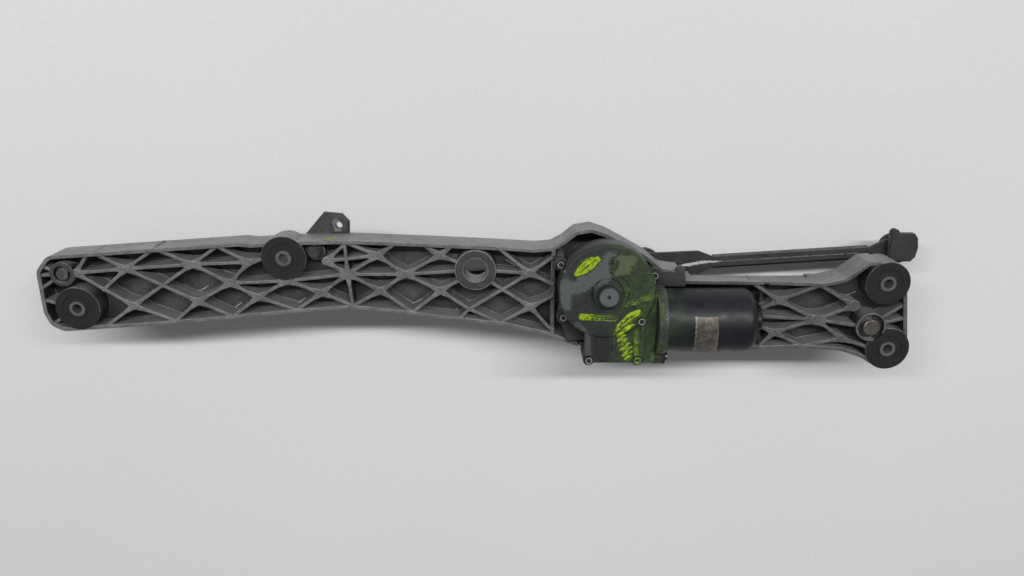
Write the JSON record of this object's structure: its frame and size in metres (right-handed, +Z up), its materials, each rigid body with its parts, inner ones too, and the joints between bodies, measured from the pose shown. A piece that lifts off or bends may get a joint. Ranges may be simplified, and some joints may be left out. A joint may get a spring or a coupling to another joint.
{
  "type": "wiper linkage",
  "caption": "Ribbed cast beam with a geared motor, crank, push rods and levers that swing opposed wiper spindles in its end bosses.",
  "frame": {"origin": "centre of the upper face of the left mounting sleeve", "axes": "+X along the beam from the left end to the right end, parallel to the motor shaft; +Y across the beam towards the bulge over the gear housing; +Z up out of the ribbed side, the side the motor is on"},
  "size_m": [0.7816, 0.1379, 0.1265],
  "materials": {
    "cast_aluminium": "dull sand-cast skin, lightly soiled",
    "housing_aluminium": "die-cast, dull",
    "grommet_rubber": "matt black rubber",
    "sleeve_steel": "aged zinc plate",
    "bush_bronze": "sintered bronze",
    "bracket_steel": "grey-green plated sheet",
    "fastener_steel": "zinc plated",
    "gasket_rubber": "soft black gasket",
    "cover_plastic": "dark grey-green moulding",
    "contact_copper": "bare copper alloy",
    "can_paint": "satin black paint",
    "magnet_ferrite": "grey ferrite",
    "inner_plastic": "brown moulding",
    "brush_carbon": "carbon block",
    "bearing_steel": "ground steel",
    "connector_plastic": "black moulding",
    "shaft_steel": "turned steel",
    "wheel_plastic": "cream moulding",
    "lever_steel": "black plated sheet steel",
    "rod_steel": "dark coated rod",
    "core_steel": "stacked sheet steel",
    "ball_steel": "polished ball",
    "socket_plastic": "dark brown-grey moulding"
  },
  "bodies": {
    "beam": {"frame_casting": "cast_aluminium", "grommet_left": "grommet_rubber", "grommet_mid": "grommet_rubber", "grommet_right_upper": "grommet_rubber", "grommet_right_lower": "grommet_rubber", "sleeve_left": "sleeve_steel", "sleeve_mid": "sleeve_steel", "sleeve_right_upper": "sleeve_steel", "sleeve_right_lower": "sleeve_steel", "bushes_left": "bush_bronze", "bushes_right": "bush_bronze", "support_bracket": "bracket_steel", "bracket_bolt": "fastener_steel", "gear_housing": "housing_aluminium", "cover_gasket": "gasket_rubber", "gear_cover": "cover_plastic", "cover_screws": "fastener_steel", "housing_screws": "fastener_steel", "output_bush": "bush_bronze", "park_contacts": "contact_copper", "motor_can": "can_paint", "magnets": "magnet_ferrite", "brush_holder": "inner_plastic", "brushes": "brush_carbon", "bearing_front": "bearing_steel", "bearing_rear": "bearing_steel", "motor_screws": "fastener_steel", "connector_shell": "connector_plastic", "connector_pins": "contact_copper"},
    "crank": {"output_shaft": "shaft_steel", "worm_wheel": "wheel_plastic", "park_ring": "contact_copper", "crank_arm": "lever_steel", "crank_nut": "fastener_steel", "crank_washer": "fastener_steel"},
    "armature": {"armature_shaft": "shaft_steel", "armature_core": "core_steel", "windings": "contact_copper", "commutator": "contact_copper"},
    "right_arm": {"right_spindle": "shaft_steel", "right_lever": "lever_steel", "right_washer": "fastener_steel", "right_circlip": "fastener_steel", "right_lever_stud": "ball_steel"},
    "left_arm": {"left_spindle": "shaft_steel", "left_lever": "lever_steel", "left_washer": "fastener_steel", "left_circlip": "fastener_steel", "left_lever_stud": "ball_steel"},
    "right_link": {"right_rod": "rod_steel", "right_lever_socket": "socket_plastic", "right_crank_socket": "socket_plastic", "right_crank_stud": "ball_steel"},
    "left_link": {"left_rod": "rod_steel", "left_lever_socket": "socket_plastic", "left_crank_socket": "socket_plastic", "left_crank_stud": "ball_steel"}
  },
  "joints": [
    {"name": "armature_turn", "type": "hinge", "parent": "beam", "child": "armature", "pos_m": [0.462, -0.007, 0.008], "axis": [-1, 0, 0], "range_deg": [0, 7200]},
    {"name": "crank_turn", "type": "hinge", "parent": "beam", "child": "crank", "pos_m": [0.462, 0.023, 0], "axis": [0, 0, 1], "range_deg": [0, 180]},
    {"name": "right_spindle_turn", "type": "hinge", "parent": "beam", "child": "right_arm", "pos_m": [0.699, -0.017, 0], "axis": [0, 0, 1], "range_deg": [0, 84.2]},
    {"name": "left_spindle_turn", "type": "hinge", "parent": "beam", "child": "left_arm", "pos_m": [-0.009, 0.031, 0], "axis": [0, 0, 1], "range_deg": [-82.2, 0]},
    {"name": "right_rod_turn", "type": "hinge", "parent": "right_arm", "child": "right_link", "pos_m": [0.73708, 0.04054, -0.051], "axis": [0, 0, 1], "range_deg": [-86.2, 0]},
    {"name": "left_rod_turn", "type": "hinge", "parent": "left_arm", "child": "left_link", "pos_m": [0.04302, -0.01584, -0.067], "axis": [0, 0, 1], "range_deg": [0, 82.9]}
  ],
  "couplings": [
    {"joint": "crank_turn", "follows": "armature_turn", "ratio": 0.025},
    {"joint": "right_spindle_turn", "follows": "armature_turn", "ratio": 0.011688},
    {"joint": "left_spindle_turn", "follows": "armature_turn", "ratio": -0.011409},
    {"joint": "right_rod_turn", "follows": "armature_turn", "ratio": -0.011964},
    {"joint": "left_rod_turn", "follows": "armature_turn", "ratio": 0.011499}
  ]
}
